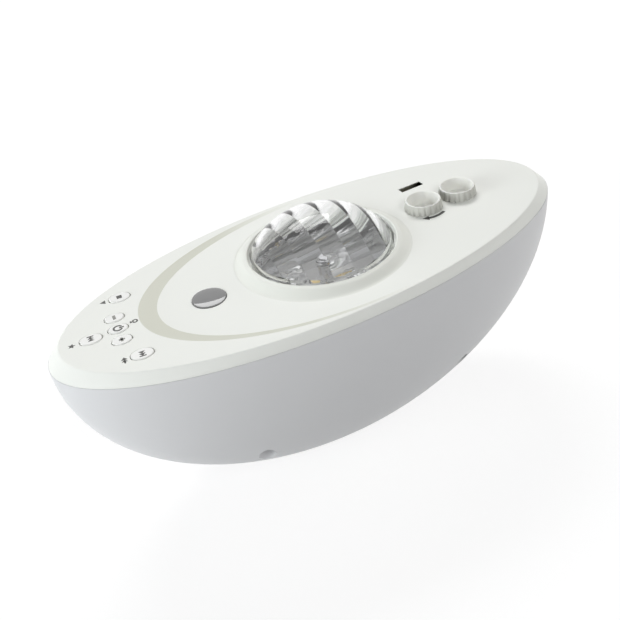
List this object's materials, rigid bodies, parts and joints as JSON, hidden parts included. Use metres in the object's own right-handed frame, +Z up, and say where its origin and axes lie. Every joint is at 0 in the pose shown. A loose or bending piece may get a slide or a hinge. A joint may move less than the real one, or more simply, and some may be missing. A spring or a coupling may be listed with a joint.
{
  "type": "aurora projector",
  "caption": "Boat-shaped table projector with a clear strip-faceted dome, oval press keys, fluted focus rings, a star window and a plug-in port.",
  "frame": {"origin": "on the table under the middle of the body, at the lowest face of the rubber feet", "axes": "+X along the body towards the focus rings, +Z up, +Y to the side with the port and the supply inlet"},
  "size_m": [0.248, 0.1048, 0.1113],
  "materials": {
    "hull_white": "fine satin, moulded",
    "cover_white": "fine satin, moulded",
    "key_white": "satin, with plain grey symbols",
    "ring_white": "satin, fluted",
    "dome_clear": "clear, polished",
    "lens_clear": "clear, polished",
    "focus_glass": "polished",
    "window_dark": "polished, smoked",
    "black_plastic": "moulded",
    "cone_paper": "fibrous",
    "board_green": "solder resist",
    "board_white": "white solder resist",
    "lamp_yellow": "phosphor under clear resin",
    "picture_film": "printed film",
    "steel": "bright",
    "reflector_silver": "silvered, satin",
    "sink_metal": "as extruded",
    "gear_plastic": "moulded",
    "laser_brass": "turned",
    "foot_rubber": "matt"
  },
  "bodies": {
    "housing": {"lower_shell": "hull_white", "top_cover": "cover_white", "dome_bezel": "cover_white", "dome_lens": "dome_clear", "star_window": "window_dark", "switch_bodies": "black_plastic", "key_board": "board_green", "lens_carrier": "black_plastic", "lamp_board": "board_green", "slide_lamps": "lamp_yellow", "lamp_tubes": "black_plastic", "slide_films": "picture_film", "port_socket": "black_plastic", "port_board": "board_green", "light_frame": "reflector_silver", "heat_sink": "sink_metal", "frame_screws": "steel", "led_board": "board_white", "color_leds": "lamp_yellow", "led_lenses": "lens_clear", "wheel_axle": "steel", "wheel_clip": "steel", "drive_motor": "steel", "motor_bracket": "steel", "laser_holder": "black_plastic", "laser_module": "laser_brass", "main_board": "board_green", "board_parts": "black_plastic", "speaker_frame": "black_plastic", "speaker_cone": "cone_paper", "power_inlet": "black_plastic", "rubber_feet": "foot_rubber", "small_screws": "steel", "case_screws": "steel"},
    "rear_key_body": {"rear_key": "key_white", "rear_plunger": "black_plastic"},
    "front_key_body": {"front_key": "key_white", "front_plunger": "black_plastic"},
    "end_key_body": {"end_key": "key_white", "end_plunger": "black_plastic"},
    "small_rear_key_body": {"small_rear_key": "key_white", "small_rear_plunger": "black_plastic"},
    "power_key_body": {"power_key": "key_white", "power_plunger": "black_plastic"},
    "small_front_key_body": {"small_front_key": "key_white", "small_front_plunger": "black_plastic"},
    "inner_ring_body": {"inner_focus_ring": "ring_white", "inner_ring_clip": "steel"},
    "inner_barrel_body": {"inner_lens_barrel": "black_plastic", "inner_focus_lens": "focus_glass"},
    "outer_ring_body": {"outer_focus_ring": "ring_white", "outer_ring_clip": "steel"},
    "outer_barrel_body": {"outer_lens_barrel": "black_plastic", "outer_focus_lens": "focus_glass"},
    "wheel_body": {"ripple_wheel": "lens_clear"},
    "pinion_body": {"drive_pinion": "gear_plastic", "motor_shaft": "steel"}
  },
  "joints": [
    {"name": "rear_key_press", "type": "slide", "parent": "housing", "child": "rear_key_body", "axis": [0, 0, -1], "range_m": [0, 0.0006], "stiffness_N_per_m": 1200},
    {"name": "front_key_press", "type": "slide", "parent": "housing", "child": "front_key_body", "axis": [0, 0, -1], "range_m": [0, 0.0006], "stiffness_N_per_m": 1200},
    {"name": "end_key_press", "type": "slide", "parent": "housing", "child": "end_key_body", "axis": [0, 0, -1], "range_m": [0, 0.0006], "stiffness_N_per_m": 1200},
    {"name": "small_rear_key_press", "type": "slide", "parent": "housing", "child": "small_rear_key_body", "axis": [0, 0, -1], "range_m": [0, 0.0006], "stiffness_N_per_m": 1200},
    {"name": "power_key_press", "type": "slide", "parent": "housing", "child": "power_key_body", "axis": [0, 0, -1], "range_m": [0, 0.0006], "stiffness_N_per_m": 1200},
    {"name": "small_front_key_press", "type": "slide", "parent": "housing", "child": "small_front_key_body", "axis": [0, 0, -1], "range_m": [0, 0.0006], "stiffness_N_per_m": 1200},
    {"name": "inner_ring_turn", "type": "hinge", "parent": "housing", "child": "inner_ring_body", "pos_m": [0.0583, 0, 0.092], "axis": [0, 0, 1], "range_deg": [-60, 60]},
    {"name": "inner_barrel_slide", "type": "slide", "parent": "housing", "child": "inner_barrel_body", "axis": [0, 0, 1], "range_m": [-0.001, 0.001]},
    {"name": "outer_ring_turn", "type": "hinge", "parent": "housing", "child": "outer_ring_body", "pos_m": [0.0775, 0, 0.092], "axis": [0, 0, 1], "range_deg": [-60, 60]},
    {"name": "outer_barrel_slide", "type": "slide", "parent": "housing", "child": "outer_barrel_body", "axis": [0, 0, 1], "range_m": [-0.001, 0.001]},
    {"name": "wheel_spin", "type": "hinge", "parent": "housing", "child": "wheel_body", "pos_m": [0.0038, 0, 0.0852], "axis": [0, 0, 1], "continuous": true},
    {"name": "pinion_spin", "type": "hinge", "parent": "housing", "child": "pinion_body", "pos_m": [-0.0338, 0, 0.0852], "axis": [0, 0, 1], "continuous": true}
  ],
  "couplings": [
    {"joint": "inner_ring_turn", "follows": "inner_barrel_slide", "rad_per_m": 1047},
    {"joint": "outer_ring_turn", "follows": "outer_barrel_slide", "rad_per_m": 1047},
    {"joint": "pinion_spin", "follows": "wheel_spin", "ratio": -4}
  ]
}
